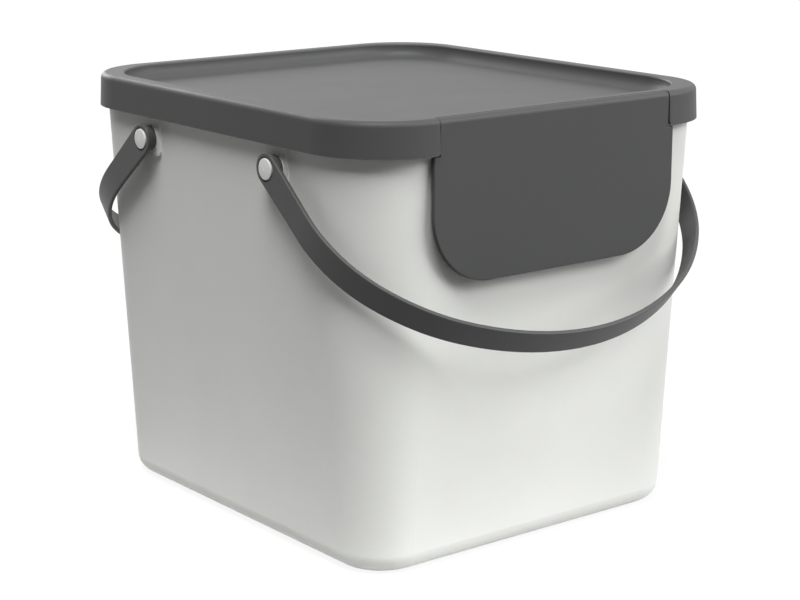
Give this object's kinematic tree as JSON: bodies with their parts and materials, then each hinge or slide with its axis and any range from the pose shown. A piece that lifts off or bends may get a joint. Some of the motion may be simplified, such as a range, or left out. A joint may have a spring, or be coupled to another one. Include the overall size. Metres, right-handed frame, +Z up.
{
  "type": "recycling bin",
  "caption": "Tapered plastic recycling bin with a lift-off stacking lid, a hinged front flap over a drop-in opening, and strap handles that swing on snap studs.",
  "frame": {"origin": "middle of the base, on the surface that the bin stands on", "axes": "+Z up, -Y towards the front with the flap, +X to the right when the front is on the near side"},
  "size_m": [0.368, 0.4856, 0.34],
  "materials": {
    "tub_plastic": "fine satin moulded white",
    "stud_plastic": "satin moulded pale grey",
    "lid_plastic": "fine-grained satin anthracite",
    "strap_plastic": "smooth satin anthracite"
  },
  "bodies": {
    "tub": {"bin_body": "tub_plastic", "front_left_stud": "stud_plastic", "front_right_stud": "stud_plastic", "rear_left_stud": "stud_plastic", "rear_right_stud": "stud_plastic"},
    "lid": {"lid": "lid_plastic"},
    "flap": {"front_flap": "lid_plastic"},
    "front_handle": {"front_handle": "strap_plastic"},
    "rear_handle": {"rear_handle": "strap_plastic"}
  },
  "joints": [
    {"name": "lid_lift", "type": "slide", "parent": "tub", "child": "lid", "axis": [0, 0, 1], "range_m": [0, 0.29]},
    {"name": "flap_hinge", "type": "hinge", "parent": "lid", "child": "flap", "pos_m": [0, -0.1943, 0.3356], "axis": [-1, 0, 0], "range_deg": [0, 130]},
    {"name": "front_handle_swing", "type": "hinge", "parent": "tub", "child": "front_handle", "pos_m": [0, -0.0864, 0.2965], "axis": [-1, 0, 0], "range_deg": [0, 152.2]},
    {"name": "rear_handle_swing", "type": "hinge", "parent": "tub", "child": "rear_handle", "pos_m": [0, 0.0864, 0.2965], "axis": [1, 0, 0], "range_deg": [0, 152.2]}
  ]
}
